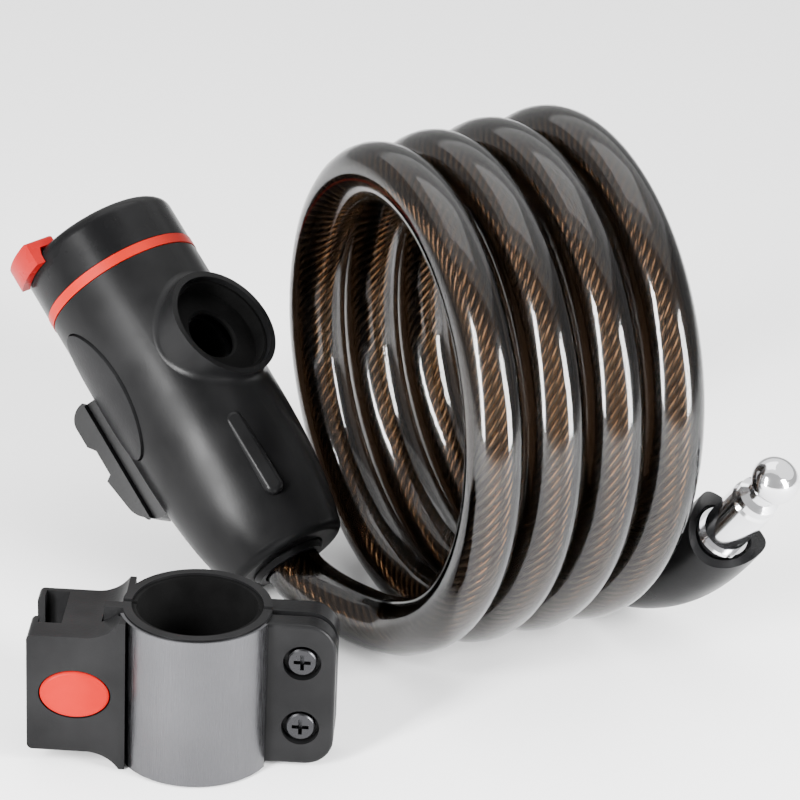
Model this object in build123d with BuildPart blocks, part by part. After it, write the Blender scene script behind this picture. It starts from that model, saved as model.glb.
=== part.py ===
from build123d import *
import os
from math import cos, pi, radians, sin, tan

# Coiled cable lock: a key head on one end of a pre-formed cable, a locking pin in a boot on the other,
# and the tube bracket that the head slides into. Millimetres, +Z up, floor at z = 0.

os.makedirs("parts", exist_ok=True)

# ---------------------------------------------------------------- driving dimensions
cable_d = 13.0          # over the clear jacket
cable_r = cable_d / 2
coil_r = 50.8           # centre line of the middle turn
turn_pitch = 14.1
turn_growth = 0.49      # the turns open a little towards the pin end
ring_pitch = 11.9       # of the rings that stand for the turns
ring_count = 4
coil_x, coil_y = 21.592, 13.437      # middle of the coil, on the floor
coil_turn = 29.4        # the coil's axis, turned from +X

barrel_r = 19.0         # key head
barrel_top = 75.6
band_h = 2.4
part_gap = 0.2          # seam between parts of the head
collar_top = 90.0
inner_r = 14.5          # bore of the casing
core_r = 14.2
core_foot, core_top = 14.0, 84.0
running_gap = 0.05      # radial clearance of a turning or sliding fit
plug_r = 8.0
cam_throw = 2.0         # eccentricity of the cam's drive pin
ferrule_r = 7.1

socket_h = 52.0         # height of the bolt socket above the cable end
socket_reach = 21.5     # socket mouth, from the head's axis
socket_wall_r = 13.9
socket_hole_r = 12.5
pin_hole_r = 5.75
pin_hole_end = -12.5
pin_r = 5.3

tube_r = 12.7           # bracket, for a 25.4 mm tube
clamp_h = 34.6
liner_t = 1.0
ring_r = 15.6
block_x = -34.4
block_y = 10.5
block_foot, block_top = 3.8, 30.8
ear_x = 29.4
ear_y = 5.6
clamp_gap = 0.6         # half the gap between the clamp halves
screw_x = 22.4
screw_pitch = 15.4
button_x = -24.4
button_travel = 2.2


def direction(turn, rise):
    """Unit vector at this heading from +X and this rise from the floor, in degrees."""
    flat = cos(radians(rise))
    return Vector(flat * cos(radians(turn)), flat * sin(radians(turn)), sin(radians(rise)))


def spin(vector, axis, angle):
    return vector.rotate(Axis((0, 0, 0), axis), angle)


# ---------------------------------------------------------------- planes
# coil: x along the coil's axis towards the pin end, y away from the pin
coil = Plane(origin=(coil_x, coil_y, 0), x_dir=direction(coil_turn, 0), z_dir=(0, 0, 1))

# head: origin in the middle of the cable end, z towards the key, x out of the bolt socket
head_turn = coil_turn + 106.3
head_axis = direction(head_turn, 38.4)
head_foot = coil.from_local_coords(Vector(-38.9, 17.7, 10.8))
socket_dir = spin(direction(head_turn - 90, 0), head_axis, -81.7)
head = Plane(origin=head_foot, x_dir=socket_dir, z_dir=head_axis)
head_side = Plane(origin=head_foot, x_dir=head.x_dir, z_dir=head.y_dir * -1)
head_line = Axis(head_foot, head_axis)

# pin: origin in the boot's rim plane, z towards the tip
pin_axis = direction(coil_turn - 80.5, 52.0)
pin_foot = coil.from_local_coords(Vector(37.5, -43.7, 32.0))
pin = Plane(origin=pin_foot, x_dir=coil.x_dir, z_dir=pin_axis)
pin_side = Plane(origin=pin_foot, x_dir=pin.x_dir, z_dir=pin.y_dir * -1)
pin_line = Axis(pin_foot, pin_axis)

# bracket: origin under the middle of the tube clamp, front towards -Y
bracket_x, bracket_y = coil_x - 57.0, coil_y - 71.0
bracket = Plane(origin=(bracket_x, bracket_y, 0), x_dir=(1, 0, 0), z_dir=(0, 0, 1))


def outward(angle, height, reach=0.0):
    """Plane across a radius of the head: z outward, x up the head's axis."""
    out = spin(head.x_dir, head.z_dir, angle)
    middle = head.from_local_coords(Vector(0, 0, height)) + out * reach
    return Plane(origin=middle, x_dir=head.z_dir, z_dir=out)


def across(x, y, z=0.0):
    """Plane across the bracket's depth: z towards its back, x to the left, y up."""
    middle = bracket.from_local_coords(Vector(x, y, z))
    return Plane(origin=middle, x_dir=(-1, 0, 0), z_dir=(0, 1, 0))


def save(piece, label):
    piece.part.label = label
    export_step(piece.part, f"parts/{label}.step")


def screw(plane, shaft_r, top_r, top_t, cone_t, length):
    """Cross-head screw: its head's face in the plane, its shaft along -z."""
    side = Plane(origin=plane.origin, x_dir=plane.x_dir, z_dir=plane.y_dir * -1)
    with BuildPart() as body:
        with BuildSketch(side):
            with BuildLine():
                Polyline(
                    (0, 0), (top_r - 0.3, 0), (top_r, -0.3), (top_r, -top_t), (shaft_r, -top_t - cone_t),
                    (shaft_r, -length), (0, -length), (0, 0)
                )
            make_face()
        revolve(axis=Axis(plane.origin, plane.z_dir))
        with BuildSketch(plane):
            Rectangle(top_r * 1.15, top_r * 0.26)
            Rectangle(top_r * 0.26, top_r * 1.15)
        extrude(amount=-0.6 * top_r, mode=Mode.SUBTRACT)
    return body.part


def spring(plane, middle_r, wire_r, length, pitch):
    """Compression spring on the plane's z axis."""
    with BuildPart() as body:
        with BuildLine():
            foot = plane.origin + plane.z_dir * wire_r
            wire = Helix(
                pitch=pitch, height=length - 2 * wire_r, radius=middle_r, center=foot, direction=plane.z_dir
            )
        with BuildSketch(Plane(origin=wire @ 0, z_dir=wire % 0)):
            Circle(wire_r)
        sweep(is_frenet=True)
    return body.part


def cord_tube(points, label):
    """Cable along straight runs joined by tangent arcs, each as large as its runs allow."""
    corners = [coil.from_local_coords(Vector(*point)) for point in points]
    runs = [end - start for start, end in zip(corners, corners[1:])]
    radii = []
    for before, after in zip(runs, runs[1:]):
        turn = radians(before.get_angle(after))
        radii.append(0.45 * min(before.length, after.length) / tan(turn / 2))
    with BuildPart() as tube:
        with BuildLine():
            path = FilletPolyline(*corners, radius=radii)
        with BuildSketch(Plane(origin=path @ 0, z_dir=path % 0)):
            Circle(cable_r)
        sweep()
    print(label, "radii", [round(radius) for radius in radii], "length", round(path.length, 1))
    print(label, "volume over section x length", round(tube.part.volume / (pi * cable_r**2 * path.length), 4))
    return tube


# ---------------------------------------------------------------- key head: casing
shoe_angle = -151
shoe_h, shoe_l = 40.6, 32.8
shoe_base = 17.1
shoe_screw_heights = (29.0, 45.0)
pad_angles = (-108, 108)
pad_h = 53.0
mouth_r = 9.1

with BuildPart() as pad_pockets:
    for angle in pad_angles:
        with BuildSketch(outward(angle, pad_h, inner_r)):
            Ellipse(17.2, 8.0)
        extrude(amount=8)
    with BuildSketch(head):
        Circle(17.6)
    extrude(amount=collar_top, mode=Mode.SUBTRACT)

rib_out = spin(head.x_dir, head.z_dir, -27)
with BuildPart() as rib:        # raised, near the cable
    with BuildSketch(outward(-27, 21.5, 12)):
        SlotOverall(22, 4.4)
    extrude(amount=7.1)
    fillet(rib.faces().sort_by(Axis(head_foot, rib_out))[-1].edges(), 1.2)

with BuildPart() as grip_sleeve:
    with BuildSketch(head_side):
        with BuildLine():
            Line((0, 0), (12.6, 0))
            ThreePointArc((12.6, 0), (14.1, 0.7), (14.9, 2.2))
            Spline((14.9, 2.2), (17.0, 11), (18.5, 24), (barrel_r, 42), tangents=((0.3, 1), (0, 1)))
            Polyline((barrel_r, 42), (barrel_r, barrel_top), (0, barrel_top), (0, 0))
        make_face()
    revolve(axis=head_line)
    plain = grip_sleeve.edges()
    with BuildSketch(outward(0, socket_h)):
        Circle(socket_wall_r)
    extrude(amount=socket_reach)
    fillet((grip_sleeve.edges() - plain).filter_by(GeomType.CIRCLE, reverse=True), 2.0)
    add(rib.part)
    with BuildSketch(head.offset(core_foot - part_gap)):        # room for the core
        Circle(inner_r)
    extrude(amount=collar_top, mode=Mode.SUBTRACT)
    with BuildSketch(head):     # room for the crimp sleeve
        Circle(ferrule_r + 0.3)
    extrude(amount=core_foot, mode=Mode.SUBTRACT)
    with BuildSketch(head):     # seat of the cable's exit bush
        Circle(mouth_r)
    extrude(amount=4, mode=Mode.SUBTRACT)
    with BuildSketch(outward(0, socket_h)):
        Circle(socket_hole_r)
    extrude(amount=collar_top, mode=Mode.SUBTRACT)
    add(pad_pockets.part, mode=Mode.SUBTRACT)
    with BuildSketch(outward(shoe_angle, shoe_h, shoe_base - 0.1)):
        Rectangle(shoe_l + 2 * part_gap, 8.4)
    extrude(amount=8, mode=Mode.SUBTRACT)
    for height in shoe_screw_heights:
        with BuildSketch(outward(shoe_angle, height, 10)):
            Circle(1.8)
        extrude(amount=12, mode=Mode.SUBTRACT)
save(grip_sleeve, "grip_sleeve")

with BuildPart() as thumb_pads:
    for angle in pad_angles:
        with BuildSketch(outward(angle, pad_h, inner_r)):
            Ellipse(16.8, 7.6)
        extrude(amount=8)
    with BuildSketch(head):
        Circle(17.8)
    extrude(amount=collar_top, mode=Mode.SUBTRACT)
    with BuildSketch(head):
        Circle(barrel_r + 0.5)
    extrude(amount=collar_top, mode=Mode.INTERSECT)
save(thumb_pads, "thumb_pads")

band_foot = barrel_top + part_gap
with BuildPart() as colour_band:
    with BuildSketch(head.offset(band_foot)):
        Circle(barrel_r + 0.15)
        Circle(inner_r, mode=Mode.SUBTRACT)
    extrude(amount=band_h)
save(colour_band, "colour_band")

collar_foot = band_foot + band_h + part_gap
floor_foot, floor_top = 84.6, 86.4
cover_hole_r = 9.4
set_screw_angle, set_screw_h = 150, 82.0
with BuildPart() as key_collar:
    with BuildSketch(head_side):
        with BuildLine():
            Polyline((inner_r, collar_foot), (barrel_r, collar_foot), (barrel_r, collar_top - 2.6))
            ThreePointArc((barrel_r, collar_top - 2.6), (barrel_r - 0.5, collar_top - 0.9), (17.5, collar_top))
            Polyline(
                (17.5, collar_top), (17.0, collar_top), (17.0, floor_top), (cover_hole_r, floor_top),
                (cover_hole_r, floor_foot), (inner_r, floor_foot), (inner_r, collar_foot)
            )
        make_face()
    revolve(axis=head_line)
    with BuildSketch(outward(set_screw_angle, set_screw_h, 10)):
        Circle(1.1)
    extrude(amount=12, mode=Mode.SUBTRACT)
save(key_collar, "key_collar")

with BuildPart() as collar_screw:
    with BuildSketch(outward(set_screw_angle, set_screw_h, 13.0)):
        Circle(1.0)
    extrude(amount=5.4)
    with BuildSketch(outward(set_screw_angle, set_screw_h, 18.4)):
        RegularPolygon(0.55, 6)
    extrude(amount=-1.4, mode=Mode.SUBTRACT)
save(collar_screw, "collar_screw")

# ---------------------------------------------------------------- key head: dust cover, turns on the axis
lug_angle = -106
lug_w = 13.0
cover_foot = floor_top + 0.4
with BuildPart() as rim_room:
    with BuildSketch(head_side):
        with BuildLine():
            Polyline(
                (16.6, floor_top), (19.3, floor_top), (19.3, collar_top - 1.6), (18.7, collar_top + 0.4),
                (16.6, collar_top + 0.4), (16.6, floor_top)
            )
        make_face()
    revolve(axis=head_line)

with BuildPart() as dust_cover:
    with BuildSketch(outward(lug_angle, 89.6, 13.4)):       # lug: riser, arm over the rim and thumb piece
        Rectangle(6.0, lug_w)
    extrude(amount=8.2)
    with BuildSketch(head):
        Circle(21.4)
    extrude(amount=collar_top + 5, mode=Mode.INTERSECT)
    add(rim_room.part, mode=Mode.SUBTRACT)
    fillet(dust_cover.edges().filter_by(GeomType.LINE).group_by(Axis((0, 0, 0), head.z_dir))[-1], 0.8)
    with BuildSketch(head.offset(cover_foot)):
        Circle(16.5)
    extrude(amount=2.0)
    with BuildSketch(head.offset(floor_foot + 0.1)):        # boss that turns in the collar's floor
        Circle(cover_hole_r - running_gap)
    extrude(amount=2.5)
    with BuildSketch(head.offset(floor_foot + 0.1)):
        Circle(7.4)
    extrude(amount=2.4, mode=Mode.SUBTRACT)
    with BuildSketch(head):     # keyhole, square to the keyway until the cover is turned
        SlotOverall(11, 3.4)
    extrude(amount=collar_top, mode=Mode.SUBTRACT)
save(dust_cover, "dust_cover")

# ---------------------------------------------------------------- key head: lock core
disc_count = 6
disc_pitch = 2.7
disc_foot = 64.6
bore_foot = 60.5
latch_x, latch_t = -2.8, 2.6        # latch plate, in line with the neck of an inserted pin
tab_foot = 58.1
retainer_angle, retainer_h = -60, 81.8
grub_angle, grub_h = 90, 25.0

with BuildPart() as core_housing:
    with BuildSketch(head.offset(core_foot)):
        Circle(core_r)
    extrude(amount=core_top - core_foot)
    with BuildSketch(head.offset(bore_foot)):       # bore of the plug and cam
        Circle(plug_r + running_gap)
    extrude(amount=collar_top, mode=Mode.SUBTRACT)
    with BuildSketch(outward(0, socket_h, pin_hole_end)):       # bore of the locking pin
        Circle(pin_hole_r)
    extrude(amount=40, mode=Mode.SUBTRACT)
    with BuildSketch(outward(0, socket_h, latch_x - latch_t / 2 - 0.15)):       # clearance ring round the latch
        Circle(pin_hole_r + 1)
    extrude(amount=latch_t + 0.3, mode=Mode.SUBTRACT)
    with BuildSketch(head.offset(tab_foot - 0.2)):      # room for the latch's tab
        with Locations((0.05, -2.2)):
            Rectangle(9.1, 12.8)
    extrude(amount=2.7, mode=Mode.SUBTRACT)
    with BuildSketch(head.offset(47.8)):        # slot of the latch, open at the side
        with Locations((latch_x, -9)):
            Rectangle(latch_t + 0.3, 12)
    extrude(amount=12.8, mode=Mode.SUBTRACT)
    with BuildSketch(head):     # room for the crimped cable end
        Circle(ferrule_r + 0.2)
    extrude(amount=36, mode=Mode.SUBTRACT)
    with BuildSketch(outward(retainer_angle, retainer_h, plug_r - 1)):
        Circle(0.75)
    extrude(amount=10, mode=Mode.SUBTRACT)
    for height in shoe_screw_heights:
        with BuildSketch(outward(shoe_angle, height, 9.4)):
            Circle(1.45)
        extrude(amount=8, mode=Mode.SUBTRACT)
    with BuildSketch(outward(set_screw_angle, set_screw_h, 12.9)):
        Circle(1.1)
    extrude(amount=8, mode=Mode.SUBTRACT)
    with BuildSketch(outward(grub_angle, grub_h, 6)):
        Circle(2.1)
    extrude(amount=12, mode=Mode.SUBTRACT)
save(core_housing, "core_housing")

chamber_l = disc_count * disc_pitch + 0.1
with BuildPart() as key_plug:
    with BuildSketch(head.offset(63.4)):
        Circle(plug_r)
    extrude(amount=20.9)
    with BuildSketch(head.offset(disc_foot - 0.2)):     # chamber of the discs and slot of the sidebar
        Circle(6.35)
        with Locations((7.4, 0)):
            Rectangle(3.0, 2.1)
    extrude(amount=chamber_l, mode=Mode.SUBTRACT)
    with BuildSketch(head.offset(81.05)):      # groove of the retaining pin
        Circle(plug_r + 1)
        Circle(plug_r - 0.9, mode=Mode.SUBTRACT)
    extrude(amount=1.5, mode=Mode.SUBTRACT)
    with BuildSketch(head.offset(70)):      # keyway
        Rectangle(1.9, 9.0)
    extrude(amount=20, mode=Mode.SUBTRACT)
    with BuildSketch(head.offset(62.0)):        # square tail that drives the cam
        Rectangle(5, 5)
    extrude(amount=1.5)
save(key_plug, "key_plug")

with BuildPart() as detainer_discs:
    for index in range(disc_count):
        with BuildSketch(head.offset(disc_foot + index * disc_pitch)):
            Circle(6.2)
            Rectangle(2.1, 8.0, mode=Mode.SUBTRACT)
            with PolarLocations(6.2, 1, start_angle=12 * (index % 3) - 12):
                Rectangle(1.6, 1.6, mode=Mode.SUBTRACT)
        extrude(amount=2.2)
save(detainer_discs, "detainer_discs")

with BuildPart() as sidebar:
    with BuildSketch(head.offset(disc_foot)):
        with Locations((7.1, 0)):
            RectangleRounded(1.4, 1.8, 0.3)
    extrude(amount=disc_count * disc_pitch - 0.4)
save(sidebar, "sidebar")

with BuildPart() as plug_pin:
    with BuildSketch(outward(retainer_angle, retainer_h, plug_r - 0.7)):
        Circle(0.65)
    extrude(amount=6.6)
save(plug_pin, "plug_pin")

cam_pin_r = 1.25
with BuildPart() as cam:
    with BuildSketch(head.offset(60.7)):
        Circle(7.6)
    extrude(amount=2.4)
    with BuildSketch(head.offset(61.9)):
        Rectangle(5.1, 5.1)
    extrude(amount=2, mode=Mode.SUBTRACT)
    with BuildSketch(head.offset(tab_foot)):        # drive pin, an eighth of a turn from mid-throw
        with PolarLocations(cam_throw, 1, start_angle=45):
            Circle(cam_pin_r)
    extrude(amount=3.0)
save(cam, "cam")

# The cam's pin swings a quarter turn, 45 degrees each side of square, and draws the latch this far.
latch_travel = 2 * cam_throw * sin(radians(45))
latch_edge = -3.6
with BuildPart() as latch:
    with BuildSketch(head.offset(48.0)):
        with Locations((latch_x, latch_edge - 2.7)):
            Rectangle(latch_t, 5.4)
    extrude(amount=tab_foot + 2 - 48.0)
    with BuildSketch(head.offset(tab_foot)):
        with Locations((0.05, -0.65)):
            Rectangle(8.3, 9.1)
        with Locations((1.7, latch_travel / 2)):
            SlotOverall(3.5 + 2 * 0.12, 2 * cam_pin_r + 0.24, mode=Mode.SUBTRACT)
    extrude(amount=2)
save(latch, "latch")

with BuildPart() as socket_liner:
    with BuildSketch(outward(0, socket_h, 14.7)):
        Circle(socket_hole_r - 0.1)
    extrude(amount=5.4)
    with BuildSketch(outward(0, socket_h, 16.4)):
        Circle(socket_hole_r - 0.8)
    extrude(amount=6, mode=Mode.SUBTRACT)
    with BuildSketch(outward(0, socket_h, 14)):
        Circle(pin_hole_r + 0.3)
    extrude(amount=6, mode=Mode.SUBTRACT)
    chamfer(socket_liner.edges().filter_by(GeomType.CIRCLE).group_by(SortBy.RADIUS)[0], 0.5)
save(socket_liner, "socket_liner")

# ---------------------------------------------------------------- key head: cable end and mount shoe
with BuildPart() as head_ferrule:
    with BuildSketch(head.offset(4)):
        Circle(ferrule_r)
    extrude(amount=31.5)
    for height in (12, 17, 30):
        with BuildSketch(head.offset(height)):      # crimp grooves
            Circle(ferrule_r + 1)
            Circle(ferrule_r - 0.5, mode=Mode.SUBTRACT)
        extrude(amount=1.6, mode=Mode.SUBTRACT)
save(head_ferrule, "head_ferrule")

with BuildPart() as ferrule_screw:
    with BuildSketch(outward(grub_angle, grub_h, ferrule_r + 0.05)):
        Circle(2.0)
    extrude(amount=6.6)
    with BuildSketch(outward(grub_angle, grub_h, ferrule_r + 6.65)):
        RegularPolygon(1.1, 6)
    extrude(amount=-2.5, mode=Mode.SUBTRACT)
save(ferrule_screw, "ferrule_screw")

with BuildPart() as exit_bush:
    with BuildSketch(head_side):
        with BuildLine():
            Polyline(
                (cable_r + 0.3, -1.5), (8.0, -1.5), (mouth_r - 0.1, -0.4), (mouth_r - 0.1, 3.8),
                (cable_r + 0.3, 3.8), (cable_r + 0.3, -1.5)
            )
        make_face()
    revolve(axis=head_line)
save(exit_bush, "exit_bush")

shoe_plane = outward(shoe_angle, shoe_h)
shoe_side = Plane(origin=shoe_plane.origin, x_dir=shoe_plane.x_dir, z_dir=shoe_plane.y_dir * -1)
shoe_top = 25.6
with BuildPart() as mount_shoe:
    with BuildSketch(shoe_side):
        with BuildLine():
            Line((-16.2, shoe_base), (-16.2, 19.6))
            ThreePointArc((-16.2, 19.6), (-14.4, 22.6), (-11, 24.4))
            Polyline((-11, 24.4), (-2.5, shoe_top), (-1.6, 24.2), (5.0, 24.2), (7.0, shoe_top), (12.5, shoe_top))
            ThreePointArc((12.5, shoe_top), (15.4, 24.0), (16.4, 20.6))
            Polyline((16.4, 20.6), (16.4, shoe_base), (-16.2, shoe_base))
        make_face()
    extrude(amount=6.7, both=True)
    with BuildSketch(shoe_plane.offset(shoe_base - 1)):
        Rectangle(40, 20)
        Rectangle(42, 7.8, mode=Mode.SUBTRACT)
    extrude(amount=21.2 - shoe_base + 1, mode=Mode.SUBTRACT)
    for height in shoe_screw_heights:
        with Locations(outward(shoe_angle, height, 24.0)):
            CounterSinkHole(1.6, 2.9, depth=12)
save(mount_shoe, "mount_shoe")

with BuildPart() as shoe_screws:
    for height in shoe_screw_heights:
        add(screw(outward(shoe_angle, height, 23.9), 1.4, 2.4, 0.4, 1.2, 14.2))
save(shoe_screws, "shoe_screws")

# ---------------------------------------------------------------- cable
lead_points = [
    (-39.78, 20.7, 13.28), (-38.35, 15.83, 9.25), (-36.7, 9.6, 7.5), (-34.5, 3.0, 6.6),
    (-31.5, -3.6, 6.55), (-28.6, -10.2, 7.2), (-25.9, -16.4, 9.2)
]
cable_lead = cord_tube(lead_points, "cable_lead")
save(cable_lead, "cable_lead")

# The turns all stand on the floor and grow, so the axis of their rings climbs a little.
slope = Vector(turn_pitch, 0, turn_growth).normalized()
ring_middle = coil.from_local_coords(Vector(-1.2, 0, coil_r + cable_r))
ring_axis = coil.from_local_coords(slope) - coil.origin
ring_plane = Plane(origin=ring_middle, x_dir=ring_axis, z_dir=coil.y_dir * -1)
ring_growth = turn_growth / turn_pitch
with BuildPart() as cable_coil:
    with BuildSketch(ring_plane):
        for index in range(ring_count):
            along = (index - (ring_count - 1) / 2) * ring_pitch
            with Locations((along, -coil_r - along * ring_growth)):
                Circle(cable_r)
        reach = (ring_count - 1) / 2 * ring_pitch
        with BuildLine():
            Polyline(
                (-reach, -coil_r + reach * ring_growth - 4), (reach, -coil_r - reach * ring_growth - 4),
                (reach, -coil_r - reach * ring_growth + 4), (-reach, -coil_r + reach * ring_growth + 4),
                close=True
            )
        make_face()
    revolve(axis=Axis(ring_middle, ring_axis))
save(cable_coil, "cable_coil")

tail_points = [(27.9, 9.0, 7.6), (28.4, 4.0, 6.8), (29.1, -1.5, 7.0), (29.9, -6.9, 7.75)]
cable_tail = cord_tube(tail_points, "cable_tail")
save(cable_tail, "cable_tail")

# ---------------------------------------------------------------- pin end
tail_end = coil.from_local_coords(Vector(*tail_points[-1]))
tail_dir = (tail_end - coil.from_local_coords(Vector(*tail_points[-2]))).normalized()
boot_line = Spline(tail_end, pin_foot - pin_axis * 4, tangents=(tail_dir, pin_axis))
pin_shank = 13.0
with BuildPart() as scoop:      # hollows the boot's rim, so that it rises at both sides of the pin
    across_dir = spin(pin.x_dir, pin_axis, 35)
    middle = pin_foot + pin_axis * 9.2
    with BuildSketch(Plane(origin=middle, x_dir=pin_axis, z_dir=across_dir)):
        Circle(10.2)
    extrude(amount=20, both=True)

with BuildPart() as pin_boot:
    for place, radius in ((0.0, 7.5), (0.35, 8.0), (0.7, 8.7)):
        with BuildSketch(Plane(origin=boot_line @ place, x_dir=coil.x_dir, z_dir=boot_line % place)):
            Circle(radius)
    for height, radius in ((-2, 9.2), (7, 9.0)):
        with BuildSketch(pin.offset(height)):
            Circle(radius)
    loft()
    with BuildSketch(pin.offset(-pin_shank - 0.3)):
        Circle(6.8)
    extrude(amount=40, mode=Mode.SUBTRACT)
    add(scoop.part, mode=Mode.SUBTRACT)
save(pin_boot, "pin_boot")

with BuildPart() as locking_pin:
    with BuildSketch(pin_side):
        with BuildLine():
            Polyline(
                (0, -pin_shank), (4.6, -pin_shank), (4.6, -2.5), (6.4, -2.5), (6.4, 0.4), (6.0, 0.9),
                (pin_r, 0.9), (pin_r, 14.8), (4.8, 15.5), (4.8, 17.4), (3.4, 18.6), (3.4, 20.9)
            )
            ThreePointArc((3.4, 20.9), (pin_r, 24.4), (2.2, 28.7))
            Polyline((2.2, 28.7), (0, 28.7), (0, -pin_shank))
        make_face()
    revolve(axis=pin_line)
save(locking_pin, "locking_pin")

with BuildPart() as pin_ferrule:
    with BuildSketch(pin.offset(-pin_shank + 0.2)):
        Circle(6.6)
        Circle(4.65, mode=Mode.SUBTRACT)
    extrude(amount=9.8)
save(pin_ferrule, "pin_ferrule")

# ---------------------------------------------------------------- bracket
middle_z = clamp_h / 2
button_z = middle_z
bore_r = tube_r + liner_t + 0.05
ear_foot, ear_top = 0.8, clamp_h - 0.8
channel_y = 2.3
pocket_left, pocket_right, lip = -32.8, -27.8, block_x
front_room = 16.75

with BuildPart() as clamp_bore:
    with BuildSketch(bracket):
        Circle(bore_r)
    extrude(amount=clamp_h)

with BuildPart() as front_room_part:
    with BuildSketch(bracket):
        Circle(front_room)
        with Locations((0, clamp_gap + 25)):
            Rectangle(50, 50, mode=Mode.SUBTRACT)
    extrude(amount=clamp_h)

with BuildPart() as bracket_body:
    with BuildSketch(across(0, block_y)):
        with BuildLine():
            Polyline((22.5, block_foot), (-block_x, block_foot), (-block_x, block_top), (22.5, block_top))
            ThreePointArc((22.5, block_top), (18.2, 31.8), (15.2, clamp_h))
            Polyline((15.2, clamp_h), (13.9, clamp_h), (13.9, 0), (15.2, 0))
            ThreePointArc((15.2, 0), (18.2, clamp_h - 31.8), (22.5, block_foot))
        make_face()
    extrude(amount=-2 * block_y)
    fillet(bracket_body.edges().filter_by(Axis.Y).group_by(Axis.X)[0], 1.2)
    with BuildSketch(bracket):
        Circle(ring_r)
    extrude(amount=clamp_h)
    with BuildSketch(across(0, clamp_gap)):     # rear ear
        with Locations((-(13.0 + ear_x) / 2, middle_z)):
            RectangleRounded(ear_x - 13.0, ear_top - ear_foot, 6)
        with Locations((-17, middle_z)):
            Rectangle(8, ear_top - ear_foot)
    extrude(amount=ear_y - clamp_gap)
    add(front_room_part.part, mode=Mode.SUBTRACT)
    add(clamp_bore.part, mode=Mode.SUBTRACT)
    with BuildSketch(bracket):      # channel of the head's shoe: pocket and mouth
        with Locations(((pocket_left + pocket_right) / 2, channel_y)):
            Rectangle(pocket_right - pocket_left, 14.0)
        with Locations((block_x, channel_y)):
            Rectangle(4, 8.6)
    extrude(amount=clamp_h, mode=Mode.SUBTRACT)
    with BuildSketch(across(button_x, -block_y, button_z)):     # well of the button
        Ellipse(7.55, 5.65)
    extrude(amount=4.5, mode=Mode.SUBTRACT)
    with BuildSketch(across(-25.4, -block_y, button_z)):        # hole of its stem and spring
        Rectangle(3.8, 4.6)
    extrude(amount=19.3, mode=Mode.SUBTRACT)
    with BuildSketch(across(-27.6, -0.3, button_z)):        # window of its tooth
        Rectangle(1.6, 3.6)
    extrude(amount=5.0, mode=Mode.SUBTRACT)
    with BuildSketch(bracket):      # slot of the front clamp's tongue
        with Locations((-17.6, -2.2)):
            Rectangle(4.0, 3.2)
    extrude(amount=clamp_h, mode=Mode.SUBTRACT)
    with BuildSketch(across(0, ear_y)):
        with GridLocations(0, screw_pitch, 1, 2):
            with Locations((-screw_x, middle_z)):
                Circle(1.7)
    extrude(amount=-20, mode=Mode.SUBTRACT)
    with BuildSketch(across(0, ear_y)):     # nut pockets
        with GridLocations(0, screw_pitch, 1, 2):
            with Locations((-screw_x, middle_z)):
                RegularPolygon(2.9, 6, major_radius=False)
    extrude(amount=-2.6, mode=Mode.SUBTRACT)
save(bracket_body, "bracket_body")

with BuildPart() as clamp_front:
    with BuildSketch(bracket):
        Circle(ring_r)
        with Locations((-16.7, -2.2)):      # tongue held by the body
            Rectangle(5.0, 2.6)
    extrude(amount=clamp_h)
    with BuildSketch(across(0, -clamp_gap)):        # front ear
        with Locations((-(13.0 + ear_x) / 2, middle_z)):
            RectangleRounded(ear_x - 13.0, ear_top - ear_foot, 6)
        with Locations((-17, middle_z)):
            Rectangle(8, ear_top - ear_foot)
    extrude(amount=clamp_gap - ear_y)
    fillet(clamp_front.faces().sort_by(Axis.X)[-1].edges().filter_by(Axis.Z), 0.8)
    with BuildSketch(bracket):
        with Locations((0, 25 - clamp_gap)):
            Rectangle(80, 50)
        Circle(bore_r)
    extrude(amount=clamp_h, mode=Mode.SUBTRACT)
    with BuildSketch(across(0, -ear_y)):        # screw holes and the recesses of their heads
        with GridLocations(0, screw_pitch, 1, 2):
            with Locations((-screw_x, middle_z)):
                Circle(4.0)
    extrude(amount=2.2, mode=Mode.SUBTRACT)
    with BuildSketch(across(0, -ear_y)):
        with GridLocations(0, screw_pitch, 1, 2):
            with Locations((-screw_x, middle_z)):
                Circle(1.7)
    extrude(amount=20, mode=Mode.SUBTRACT)
save(clamp_front, "clamp_front")

plate_r = ring_r + 0.05
with BuildPart() as front_plate:
    with BuildSketch(bracket.offset(0.3)):
        with BuildLine():
            CenterArc((0, 0), plate_r, 199, 138)
            CenterArc((0, 0), plate_r + 0.8, 199, 138)
            for angle in (199, 337):
                inner = PolarLine((0, 0), plate_r, angle, mode=Mode.PRIVATE)
                Line(inner @ 1, inner @ 1 + (inner % 0) * 0.8)
        make_face()
    extrude(amount=clamp_h - 0.6)
save(front_plate, "front_plate")

with BuildPart() as clamp_liner:
    with BuildSketch(bracket.offset(0.5)):
        Circle(tube_r + liner_t)
        Circle(tube_r, mode=Mode.SUBTRACT)
        Rectangle(40, 2 * clamp_gap, mode=Mode.SUBTRACT)
    extrude(amount=clamp_h - 1)
save(clamp_liner, "clamp_liner")

with BuildPart() as clamp_screws:
    for height in (middle_z - screw_pitch / 2, middle_z + screw_pitch / 2):
        face = bracket.from_local_coords(Vector(screw_x, -5.3, height))
        add(screw(Plane(origin=face, x_dir=(1, 0, 0), z_dir=(0, -1, 0)), 1.5, 3.1, 1.8, 0.0, 11.2))
save(clamp_screws, "clamp_screws")

with BuildPart() as clamp_nuts:
    with BuildSketch(across(0, ear_y - 0.1)):
        with GridLocations(0, screw_pitch, 1, 2):
            with Locations((-screw_x, middle_z)):
                RegularPolygon(2.75, 6, major_radius=False)
                Circle(1.55, mode=Mode.SUBTRACT)
    extrude(amount=-2.4)
save(clamp_nuts, "clamp_nuts")

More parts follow.
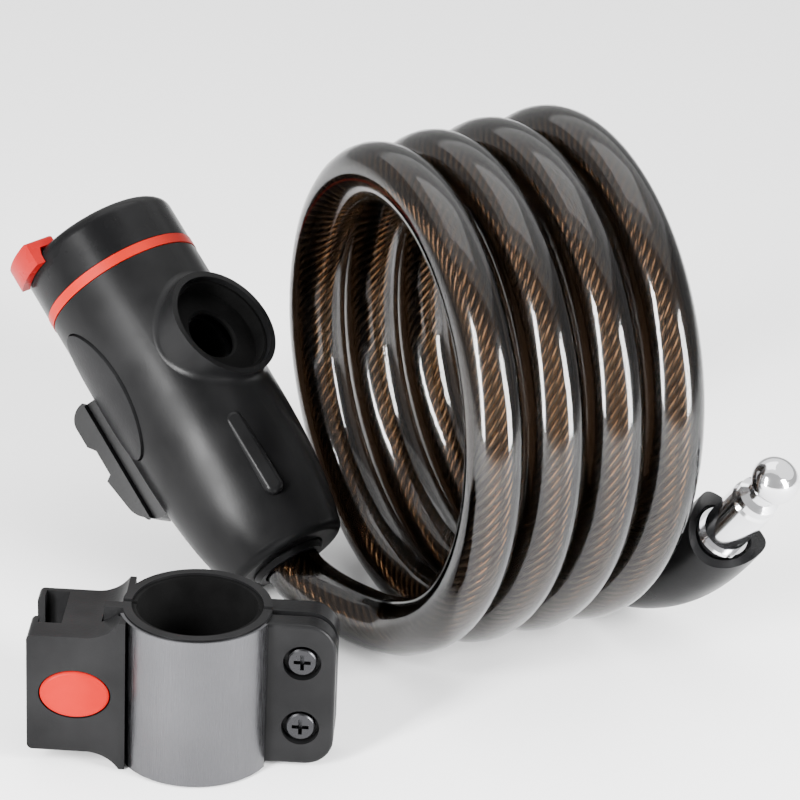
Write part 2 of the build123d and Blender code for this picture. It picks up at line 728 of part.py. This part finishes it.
with BuildPart() as release_button:
    with BuildSketch(across(button_x, -block_y - 0.4, button_z)):
        Ellipse(7.3, 5.4)
    extrude(amount=2.4)
    crown = release_button.faces().sort_by(Axis.Y)[0]
    fillet(crown.edges(), 0.8)
    with BuildSketch(across(-25.4, -block_y + 1, button_z)):
        Rectangle(3.2, 4.0)
    extrude(amount=12.4)
    with BuildSketch(across(-27.6, 0, button_z)):       # tooth that holds the shoe
        Rectangle(1.8, 2.8)
    extrude(amount=2.0)
save(release_button, "release_button")

with BuildPart() as button_spring:
    add(spring(across(-25.4, 3.0, button_z), 1.3, 0.2, 5.6, 1.4))
save(button_spring, "button_spring")

hard = Compound(children=[
    piece.part for piece in (
        grip_sleeve, thumb_pads, key_collar, dust_cover, exit_bush, mount_shoe, pin_boot, locking_pin,
        bracket_body, clamp_front, front_plate, release_button, clamp_screws, clamp_nuts
    )
]).bounding_box()
print("hard pieces: middle", [round(value, 3) for value in hard.center()], "foot", round(hard.min.Z, 3))
print("latch travel", round(latch_travel, 3))
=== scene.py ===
import bpy
import bmesh
from math import cos, pi, radians, sin
from mathutils import Matrix, Vector


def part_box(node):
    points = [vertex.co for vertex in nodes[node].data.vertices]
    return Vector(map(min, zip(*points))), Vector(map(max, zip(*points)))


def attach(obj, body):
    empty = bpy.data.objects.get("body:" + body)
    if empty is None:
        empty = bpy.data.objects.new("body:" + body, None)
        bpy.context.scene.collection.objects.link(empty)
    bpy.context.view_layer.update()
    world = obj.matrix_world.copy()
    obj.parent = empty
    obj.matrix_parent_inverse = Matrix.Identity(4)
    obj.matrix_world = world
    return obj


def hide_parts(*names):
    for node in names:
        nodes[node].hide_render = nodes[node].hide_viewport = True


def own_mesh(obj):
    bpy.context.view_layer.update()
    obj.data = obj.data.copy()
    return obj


# Coiled cable lock: key head, coiled cable with a clear jacket, locking pin and tube bracket.
# Blender objects are in metres in the CAD frame: +X right, +Y away, +Z up.
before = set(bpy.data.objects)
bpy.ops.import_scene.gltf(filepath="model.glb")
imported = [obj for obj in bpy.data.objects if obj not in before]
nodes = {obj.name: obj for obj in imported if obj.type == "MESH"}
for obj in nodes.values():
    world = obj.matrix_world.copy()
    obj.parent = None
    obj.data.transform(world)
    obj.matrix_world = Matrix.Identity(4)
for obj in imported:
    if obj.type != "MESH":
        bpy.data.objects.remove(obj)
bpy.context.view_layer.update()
scene = bpy.context.scene

MM = 0.001
COIL = Vector((21.592, 13.437, 0))      # middle of the coil, on the floor, in millimetres
COIL_TURN = 29.4                        # degrees from +X to the coil's axis


def coil_point(along, away, up):
    """A point beside the coil, in millimetres along its axis, away and up, as metres in the frame."""
    c, s = cos(radians(COIL_TURN)), sin(radians(COIL_TURN))
    return (COIL + Vector((along * c - away * s, along * s + away * c, up))) * MM


# ------------------------------------------------------------------ camera
ELEVATION = radians(24.5)   # how far the camera looks down
ROLL = radians(3.17)
DISTANCE = 0.766            # from the eye to the target
TARGET_HEIGHT = 57          # millimetres above the floor
IMAGE_SIDE = 800            # pixels
SENSOR_WIDTH = 36           # millimetres
FOCAL = 3427.0              # pixels
TARGET_RIGHT = 85.0         # pixels from the middle of the image to the target
TARGET_UP = 20.3

forward = Vector((0, cos(ELEVATION), -sin(ELEVATION)))
right = Vector((cos(ROLL), sin(ROLL) * sin(ELEVATION), sin(ROLL) * cos(ELEVATION)))
up = Vector((-sin(ROLL), cos(ROLL) * sin(ELEVATION), cos(ROLL) * cos(ELEVATION)))
target = Vector((COIL.x, COIL.y, TARGET_HEIGHT)) * MM
eye = target - forward * DISTANCE
aim = (forward * FOCAL - right * TARGET_RIGHT - up * TARGET_UP).normalized()
image_right = aim.cross(up).normalized()
image_up = image_right.cross(aim)

camera_data = bpy.data.cameras.new("camera")
camera_data.lens = FOCAL / IMAGE_SIDE * SENSOR_WIDTH
camera_data.clip_start = 0.05
camera_data.clip_end = 20
camera = bpy.data.objects.new("camera", camera_data)
scene.collection.objects.link(camera)
axes_of_camera = Matrix((image_right, image_up, -aim)).transposed().to_4x4()
camera.matrix_world = Matrix.Translation(eye) @ axes_of_camera
scene.camera = camera


# ------------------------------------------------------------------ material helpers
class Nodes:
    """A Principled material with a few procedural layers, in object coordinates."""

    def __init__(self, name, color, rough=0.5, metal=0.0, **sockets):
        self.mat = bpy.data.materials.new(name)
        self.mat.use_nodes = True
        self.tree = self.mat.node_tree
        self.bsdf = self.tree.nodes["Principled BSDF"]
        self.bsdf.inputs["Base Color"].default_value = (*color, 1)
        self.bsdf.inputs["Roughness"].default_value = rough
        self.bsdf.inputs["Metallic"].default_value = metal
        for key, value in sockets.items():
            self.bsdf.inputs[key.replace("_", " ")].default_value = value
        self.coords = self.tree.nodes.new("ShaderNodeTexCoord")
        self.color = color
        self.rough = rough

    def new(self, kind, **values):
        node = self.tree.nodes.new(kind)
        for key, value in values.items():
            setattr(node, key, value)
        return node

    def link(self, a, b):
        self.tree.links.new(a, b)

    def noise(self, scale, detail=3.0, stretch=None, rot=None):
        """Noise in object coordinates, stretched and turned where the finish has a direction."""
        node = self.new("ShaderNodeTexNoise")
        node.inputs["Scale"].default_value = scale
        node.inputs["Detail"].default_value = detail
        source = self.coords.outputs["Object"]
        if stretch is not None:
            mapping = self.new("ShaderNodeMapping")
            mapping.inputs["Scale"].default_value = stretch
            if rot is not None:
                mapping.inputs["Rotation"].default_value = rot
            self.link(source, mapping.inputs["Vector"])
            source = mapping.outputs["Vector"]
        self.link(source, node.inputs["Vector"])
        return node.outputs["Fac"]

    def ramp(self, value, low, high, start=0.35, end=0.65):
        """Maps value from start..end to low..high."""
        node = self.new("ShaderNodeMapRange")
        node.inputs["From Min"].default_value = start
        node.inputs["From Max"].default_value = end
        node.inputs["To Min"].default_value = low
        node.inputs["To Max"].default_value = high
        self.link(value, node.inputs["Value"])
        return node.outputs["Result"]

    def tint(self, value, other, start=0.35, end=0.7):
        """Mixes the base colour with another one where value is high."""
        mix = self.new("ShaderNodeMix", data_type="RGBA")
        mix.inputs["A"].default_value = (*self.color, 1)
        mix.inputs["B"].default_value = (*other, 1)
        before = self.bsdf.inputs["Base Color"]
        if before.is_linked:
            self.link(before.links[0].from_socket, mix.inputs["A"])
        self.link(self.ramp(value, 0, 1, start, end), mix.inputs["Factor"])
        self.link(mix.outputs["Result"], before)

    def vary_rough(self, value, spread):
        """Roughness that goes spread below and above its own figure."""
        rough = self.ramp(value, self.rough - spread, self.rough + spread)
        self.link(rough, self.bsdf.inputs["Roughness"])

    def bump(self, value, strength, distance=0.0002):
        """Adds a relief, distance metres deep, on top of any that is there."""
        node = self.new("ShaderNodeBump")
        node.inputs["Strength"].default_value = strength
        node.inputs["Distance"].default_value = distance
        self.link(value, node.inputs["Height"])
        normal = self.bsdf.inputs["Normal"]
        if normal.is_linked:
            self.link(normal.links[0].from_socket, node.inputs["Normal"])
        self.link(node.outputs["Normal"], normal)


def plastic(name, color, rough, grain, spread, relief, **sockets):
    """Moulded plastic: fine grain, slow changes of colour and gloss."""
    sockets.setdefault("Specular_IOR_Level", 0.1)
    m = Nodes(name, color, rough, **sockets)
    m.tint(m.noise(55, 4), tuple(min(1, c * 1.35 + 0.004) for c in color))
    m.vary_rough(m.noise(90, 5), spread)
    m.bump(m.noise(grain, 2), relief, 0.00012)
    return m.mat


def metal(name, color, rough, stretch=(1, 1, 1), rot=None, grain=900, spread=0.08, relief=0.06):
    """Machined or drawn metal, with its lines along stretch's smallest direction."""
    m = Nodes(name, color, rough, 1.0)
    m.tint(m.noise(40, 4), tuple(c * 0.82 for c in color))
    m.vary_rough(m.noise(grain, 4, stretch, rot), spread)
    m.bump(m.noise(grain, 3, stretch, rot), relief, 0.00005)
    return m.mat


MATS = {
    "casing": plastic("casing_black", (0.003, 0.003, 0.0032), 0.34, 2200, 0.05, 0.10),
    "pad": plastic("pad_rubber", (0.004, 0.004, 0.0043), 0.44, 1400, 0.06, 0.35),
    "collar": plastic("collar_black", (0.0028, 0.0028, 0.003), 0.27, 2400, 0.05, 0.06),
    "shoe": plastic("shoe_black", (0.003, 0.003, 0.0032), 0.34, 2000, 0.06, 0.12),
    "boot": plastic("boot_black", (0.0028, 0.0028, 0.003), 0.33, 1800, 0.06, 0.14),
    "block": plastic("bracket_black", (0.003, 0.003, 0.0032), 0.40, 1700, 0.06, 0.25),
    "band": plastic("band_orange", (0.30, 0.006, 0.0015), 0.40, 2000, 0.05, 0.05),
    "tab": plastic("tab_red", (0.20, 0.0003, 0.0005), 0.30, 2000, 0.05, 0.05),
    "button": plastic("button_red", (0.20, 0.0009, 0.0002), 0.38, 2000, 0.05, 0.06, Specular_IOR_Level=0.05),
    "liner": plastic("liner_rubber", (0.0012, 0.0012, 0.0012), 0.7, 1200, 0.06, 0.4, Specular_IOR_Level=0.05),
    "core": metal("core_aluminium", (0.10, 0.10, 0.105), 0.36, (1, 1, 8)),
    "brass": metal("plug_brass", (0.78, 0.58, 0.27), 0.24, (1, 1, 6)),
    "steel": metal("steel", (0.55, 0.55, 0.57), 0.30, (6, 1, 1)),
    "blackscrew": metal("screw_black", (0.035, 0.035, 0.037), 0.34, (1, 1, 1), None, 1500),
    "chrome": metal("pin_chrome", (0.84, 0.84, 0.86), 0.11, (1, 1, 10), (0.55, 0.45, 0), 700, 0.05, 0.03),
    "plate": metal("plate_gunmetal", (0.095, 0.095, 0.10), 0.28, (40, 40, 0.6), None, 300, 0.10, 0.05),
}
USE = {
    "grip_sleeve": "casing", "thumb_pads": "pad", "key_collar": "collar", "exit_bush": "shoe",
    "mount_shoe": "shoe", "pin_boot": "boot", "bracket_body": "block", "clamp_front": "block",
    "colour_band": "band", "dust_cover": "tab", "release_button": "button", "core_housing": "core",
    "key_plug": "brass", "detainer_discs": "brass", "sidebar": "brass", "cam": "brass", "latch": "steel",
    "plug_pin": "steel", "collar_screw": "steel", "ferrule_screw": "steel", "head_ferrule": "steel",
    "pin_ferrule": "steel", "button_spring": "steel", "clamp_nuts": "steel", "clamp_screws": "blackscrew",
    "shoe_screws": "blackscrew", "locking_pin": "chrome", "socket_liner": "liner", "clamp_liner": "liner",
    "front_plate": "plate",
}
for name, key in USE.items():
    node = nodes[name]
    if node.material_slots:
        for slot in node.material_slots:
            slot.material = MATS[key]
    else:
        node.data.materials.append(MATS[key])


# ------------------------------------------------------------------ cable
# Its route, in millimetres beside the coil: out of the head, round four turns, and into the pin's boot.
CABLE_R = 6.5
COIL_R = 50.8               # to the middle of the cable, halfway along the coil
PITCH = 14.1
GROWTH = 0.49               # of the radius, from one turn to the next
TURNS = 4
STEPS = 16                  # control points to a turn
PULL = cos(pi / STEPS)      # the spline runs this much inside its control points
FIRST_ANGLE = 0.375         # where the lead from the head meets the first turn, from its lowest point
LAST_GAP = 0.15             # left before the lowest point of the last turn
LEAD = [
    (-39.78, 20.7, 13.28),
    (-38.35, 15.83, 9.25),
    (-36.7, 9.6, 7.5),
    (-34.5, 3.0, 6.55),
    (-32.0, -4.0, 6.45),
    (-29.6, -11.2, 7.1),
]
TAIL = [
    (28.4, 4.0, 6.6),
    (29.1, -1.5, 6.8),
    (29.9, -8.0, 8.0),
    (30.6, -14.0, 9.6),
]

route = [coil_point(*p) for p in LEAD]
angle = FIRST_ANGLE
while angle < TURNS * 2 * pi - LAST_GAP:
    turn = angle / (2 * pi) - TURNS / 2
    radius = COIL_R + GROWTH * turn
    wide = radius / PULL
    route.append(coil_point(turn * PITCH, -wide * sin(angle), CABLE_R + radius - wide * cos(angle)))
    angle += 2 * pi / STEPS
route += [coil_point(*p) for p in TAIL]


def spline(points, name):
    """A curve of one open NURBS spline with these control points."""
    data = bpy.data.curves.new(name, "CURVE")
    data.dimensions = "3D"
    run = data.splines.new("NURBS")
    run.points.add(len(points) - 1)
    for control, place in zip(run.points, points):
        control.co = (*place, 1)
    run.order_u = 3
    run.use_endpoint_u = True
    data.resolution_u = 6
    curve = bpy.data.objects.new(name, data)
    scene.collection.objects.link(curve)
    return curve


def read(curve):
    """The points of a curve's own line."""
    mesh = bpy.data.meshes.new_from_object(curve)
    found = [v.co.copy() for v in mesh.vertices]
    bpy.data.meshes.remove(mesh)
    return found


jacket = spline(route, "cable_jacket")
path = read(jacket)
jacket.data.bevel_depth = CABLE_R * MM
jacket.data.bevel_resolution = 8


def normals(points):
    """Two normals at each point of a line, turning as little as possible along it."""
    out = []
    normal = (points[1] - points[0]).normalized().orthogonal().normalized()
    for i in range(len(points)):
        before, after = points[max(0, i - 1)], points[min(len(points) - 1, i + 1)]
        tangent = (after - before).normalized()
        normal = (normal - tangent * normal.dot(tangent)).normalized()
        out.append((normal, tangent.cross(normal)))
    return out


def resample(points, step):
    """Points at even steps along a line."""
    out = [points[0]]
    left = step
    for a, b in zip(points, points[1:]):
        run = (b - a).length
        at = 0.0
        while run - at >= left:
            at += left
            out.append(a.lerp(b, at / run))
            left = step
        left -= run - at
    return out


def around(place, pair, angle, radius):
    """A point at radius from place, in the plane of its two normals."""
    return place + (pair[0] * cos(angle) + pair[1] * sin(angle)) * radius


def rope(points, lay, strands, offset, wire_r, sides, name, material):
    """Round wires that wind at offset round a line of evenly spaced points, one turn in each lay."""
    bm = bmesh.new()
    pairs = normals(points)
    step = (points[1] - points[0]).length
    for k in range(strands):
        wire = [
            around(place, pair, 2 * pi * (i * step / lay + k / strands), offset)
            for i, (place, pair) in enumerate(zip(points, pairs))
        ]
        rings = [
            [bm.verts.new(around(place, pair, 2 * pi * j / sides, wire_r)) for j in range(sides)]
            for place, pair in zip(wire, normals(wire))
        ]
        for ring, following in zip(rings, rings[1:]):
            for j in range(sides):
                beside = (j + 1) % sides
                bm.faces.new((ring[j], ring[beside], following[beside], following[j]))
    mesh = bpy.data.meshes.new(name)
    bm.normal_update()
    bm.to_mesh(mesh)
    bm.free()
    for face in mesh.polygons:
        face.use_smooth = True
    mesh.materials.append(material)
    wires = bpy.data.objects.new(name, mesh)
    scene.collection.objects.link(wires)
    return wires


rope_mat = metal("rope_steel", (0.66, 0.58, 0.47), 0.22, (1, 1, 1), None, 900, 0.05, 0.02)
clear = Nodes("jacket_clear", (0.72, 0.65, 0.57), 0.12, Transmission_Weight=1.0, IOR=1.42)
clear.tint(clear.noise(30, 3), (0.72, 0.66, 0.60))
clear.vary_rough(clear.noise(70, 4), 0.03)
clear.bump(clear.noise(110, 2), 0.03, 0.0004)
smoke = clear.new("ShaderNodeVolumeAbsorption")
smoke.inputs["Color"].default_value = (0.40, 0.335, 0.265, 1)
smoke.inputs["Density"].default_value = 680
clear.link(smoke.outputs["Volume"], clear.tree.nodes["Material Output"].inputs["Volume"])
jacket.data.materials.append(clear.mat)

# The steel rope inside the jacket.
ROPE_STEP = 1.7 * MM
ROPE_LAY = 26 * MM
STRANDS = 10
STRAND_OFFSET = 2.35 * MM
STRAND_R = 0.76 * MM
STRAND_SIDES = 6
core = rope(resample(path, ROPE_STEP), ROPE_LAY, STRANDS, STRAND_OFFSET, STRAND_R, STRAND_SIDES,
            "rope_strands", rope_mat)
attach(core, "lock")
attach(jacket, "lock")
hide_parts("cable_lead", "cable_coil", "cable_tail")

# ------------------------------------------------------------------ button spring
# A wound wire along the length of the CAD spring's box, in place of the rigid CAD node.
WIRE_R = 0.2 * MM
WIRE_SIDES = 8
WIND_R = 1.3 * MM
SPRING_LAY = 1.4 * MM
SPRING_STEPS = 96
low, high = (Vector(c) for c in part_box("button_spring"))
middle = (low + high) / 2
wound = high.y - low.y - 2 * WIRE_R
spring_line = [
    Vector((middle.x, low.y + WIRE_R + wound * i / SPRING_STEPS, middle.z))
    for i in range(SPRING_STEPS + 1)
]
spring = rope(spring_line, SPRING_LAY, 1, WIND_R, WIRE_R, WIRE_SIDES, "spring_wire", MATS["steel"])
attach(spring, "bracket")
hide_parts("button_spring")
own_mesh(spring)

# ------------------------------------------------------------------ studio
FLOOR_SIDE = 6
FLOOR_Z = -0.0002           # just under the object, so that no faces lie in each other
WORLD_STRENGTH = 0.72

floor_mat = Nodes("floor_white", (0.92, 0.92, 0.92), 0.8)
floor_mat.tint(floor_mat.noise(4, 2), (0.905, 0.905, 0.91))
bpy.ops.mesh.primitive_plane_add(size=FLOOR_SIDE, location=(0, 0, FLOOR_Z))
floor = bpy.context.object
floor.name = "floor"
floor.data.materials.append(floor_mat.mat)

world = bpy.data.worlds.new("studio")
world.use_nodes = True
background = world.node_tree.nodes["Background"]
background.inputs["Color"].default_value = (1, 1, 1, 1)
background.inputs["Strength"].default_value = WORLD_STRENGTH
scene.world = world


def softbox(name, place, width, height, watts, aim_at):
    """A rectangular light at place, turned towards aim_at."""
    data = bpy.data.lights.new(name, "AREA")
    data.shape = "RECTANGLE"
    data.size = width
    data.size_y = height
    data.energy = watts
    light = bpy.data.objects.new(name, data)
    light.location = place
    light.rotation_euler = (Vector(aim_at) - Vector(place)).to_track_quat("-Z", "Y").to_euler()
    scene.collection.objects.link(light)


HEAD_HEIGHT = (0.0, 0.0, 0.10)
COIL_FOOT = (0.01, 0.01, 0.05)
softbox("strip_left", (-0.39, -0.53, 0.27), 0.12, 0.50, 22.0, HEAD_HEIGHT)
softbox("strip_right", (0.60, -0.38, 0.27), 0.20, 0.50, 26.0, HEAD_HEIGHT)
softbox("top", (0.05, 0.75, 1.9), 4.4, 3.6, 62.0, COIL_FOOT)
softbox("top_core", (0.0, 0.30, 1.1), 0.9, 0.8, 6.0, COIL_FOOT)
